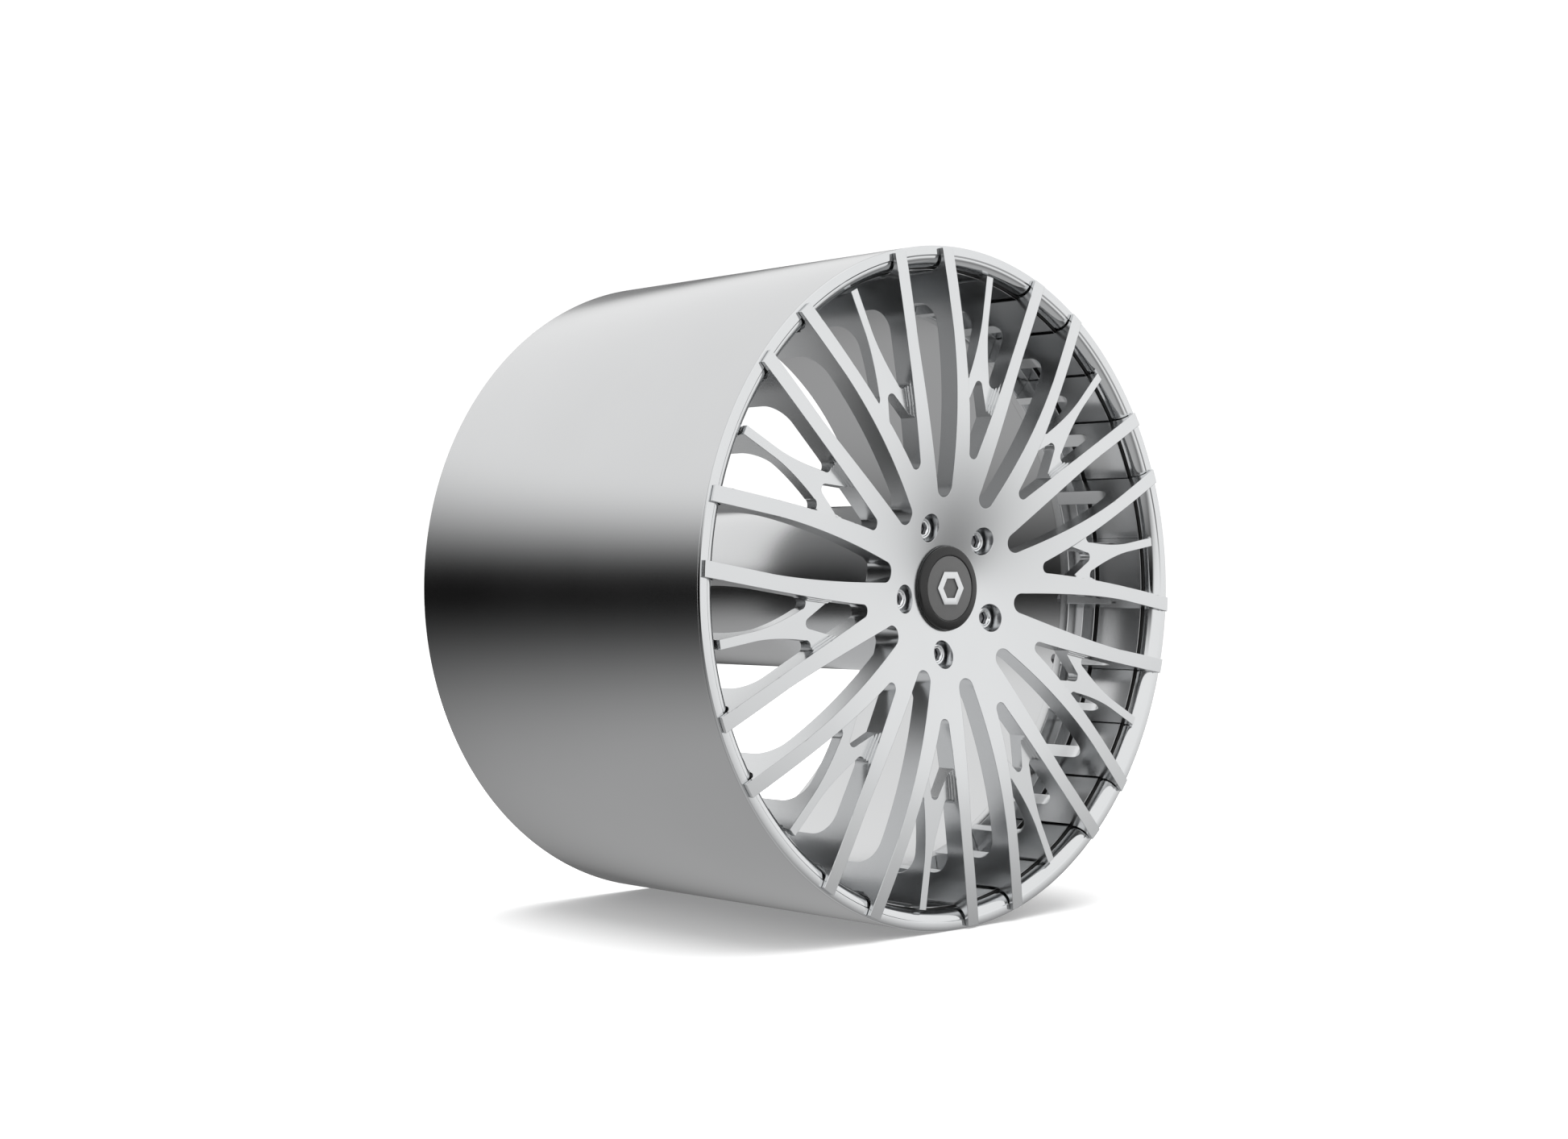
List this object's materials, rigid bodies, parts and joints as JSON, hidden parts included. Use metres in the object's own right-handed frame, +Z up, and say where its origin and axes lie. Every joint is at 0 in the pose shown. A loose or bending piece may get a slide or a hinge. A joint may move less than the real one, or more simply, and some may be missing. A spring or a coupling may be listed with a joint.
{
  "type": "forged racing wheel rim",
  "caption": "Deep multi-piece forged racing wheel with paired and forked spokes, rolled lip, plain barrel, hub adapter, lug nuts, centre cap and valve.",
  "frame": {"origin": "centre of the bounding box, on the wheel's axis, midway between the foremost point of the spokes and the barrel's rear edge", "axes": "+Y along the wheel's axis from the face towards the vehicle, +Z up, +X to the right as the face is seen from the front"},
  "size_m": [0.6446, 0.4214, 0.6446],
  "materials": {
    "polished_forging": "polished",
    "brushed_barrel": "satin polished",
    "chrome": "mirror",
    "zinc_steel": "zinc plated",
    "seal_rubber": "matte",
    "gloss_black": "gloss",
    "cap_grey": "satin",
    "black_plastic": "satin",
    "valve_brass": "plain"
  },
  "bodies": {
    "wheel": {"centre_disc": "polished_forging", "outer_lip": "polished_forging", "lip_seal": "seal_rubber", "barrel_liner": "brushed_barrel", "barrel_seal": "seal_rubber", "barrel": "brushed_barrel", "barrel_flange": "brushed_barrel", "hub_tube": "brushed_barrel", "hub_front_plate": "brushed_barrel", "hub_rear_plate": "brushed_barrel", "hub_ring": "black_plastic", "assembly_bolt_01": "zinc_steel", "assembly_bolt_02": "zinc_steel", "assembly_bolt_03": "zinc_steel", "assembly_bolt_04": "zinc_steel", "assembly_bolt_05": "zinc_steel", "assembly_bolt_06": "zinc_steel", "assembly_bolt_07": "zinc_steel", "assembly_bolt_08": "zinc_steel", "assembly_bolt_09": "zinc_steel", "assembly_bolt_10": "zinc_steel", "assembly_bolt_11": "zinc_steel", "assembly_bolt_12": "zinc_steel", "assembly_bolt_13": "zinc_steel", "assembly_bolt_14": "zinc_steel", "assembly_bolt_15": "zinc_steel", "assembly_bolt_16": "zinc_steel", "assembly_bolt_17": "zinc_steel", "assembly_bolt_18": "zinc_steel", "assembly_bolt_19": "zinc_steel", "assembly_bolt_20": "zinc_steel", "wheel_stud_1": "zinc_steel", "wheel_stud_2": "zinc_steel", "wheel_stud_3": "zinc_steel", "wheel_stud_4": "zinc_steel", "wheel_stud_5": "zinc_steel", "valve_stem": "chrome", "valve_grommet": "seal_rubber", "valve_nut": "chrome"},
    "centre_cap": {"cap_body": "black_plastic", "cap_bezel": "gloss_black", "cap_face": "cap_grey", "cap_emblem": "polished_forging", "cap_clip_ring": "zinc_steel"},
    "valve_cap_body": {"valve_cap": "black_plastic"},
    "valve_pin_body": {"valve_pin": "valve_brass"},
    "lug_nut_body_1": {"lug_nut_1": "chrome", "lug_washer_1": "chrome"},
    "lug_nut_body_2": {"lug_nut_2": "chrome", "lug_washer_2": "chrome"},
    "lug_nut_body_3": {"lug_nut_3": "chrome", "lug_washer_3": "chrome"},
    "lug_nut_body_4": {"lug_nut_4": "chrome", "lug_washer_4": "chrome"},
    "lug_nut_body_5": {"lug_nut_5": "chrome", "lug_washer_5": "chrome"}
  },
  "joints": [
    {"name": "centre_cap_pull", "type": "slide", "parent": "wheel", "child": "centre_cap", "axis": [0, -1, 0], "range_m": [0, 0.03]},
    {"name": "lug_nut_1_travel", "type": "slide", "parent": "wheel", "child": "lug_nut_body_1", "axis": [0, -1, 0], "range_m": [0, 0.03]},
    {"name": "lug_nut_2_travel", "type": "slide", "parent": "wheel", "child": "lug_nut_body_2", "axis": [0, -1, 0], "range_m": [0, 0.03]},
    {"name": "lug_nut_3_travel", "type": "slide", "parent": "wheel", "child": "lug_nut_body_3", "axis": [0, -1, 0], "range_m": [0, 0.03]},
    {"name": "lug_nut_4_travel", "type": "slide", "parent": "wheel", "child": "lug_nut_body_4", "axis": [0, -1, 0], "range_m": [0, 0.03]},
    {"name": "lug_nut_5_travel", "type": "slide", "parent": "wheel", "child": "lug_nut_body_5", "axis": [0, -1, 0], "range_m": [0, 0.03]},
    {"name": "valve_cap_pull", "type": "slide", "parent": "wheel", "child": "valve_cap_body", "axis": [-0.7071, 0, 0.7071], "range_m": [0, 0.02]},
    {"name": "valve_pin_press", "type": "slide", "parent": "wheel", "child": "valve_pin_body", "axis": [0.7071, 0, -0.7071], "range_m": [0, 0.0012], "stiffness_N_per_m": 150}
  ]
}
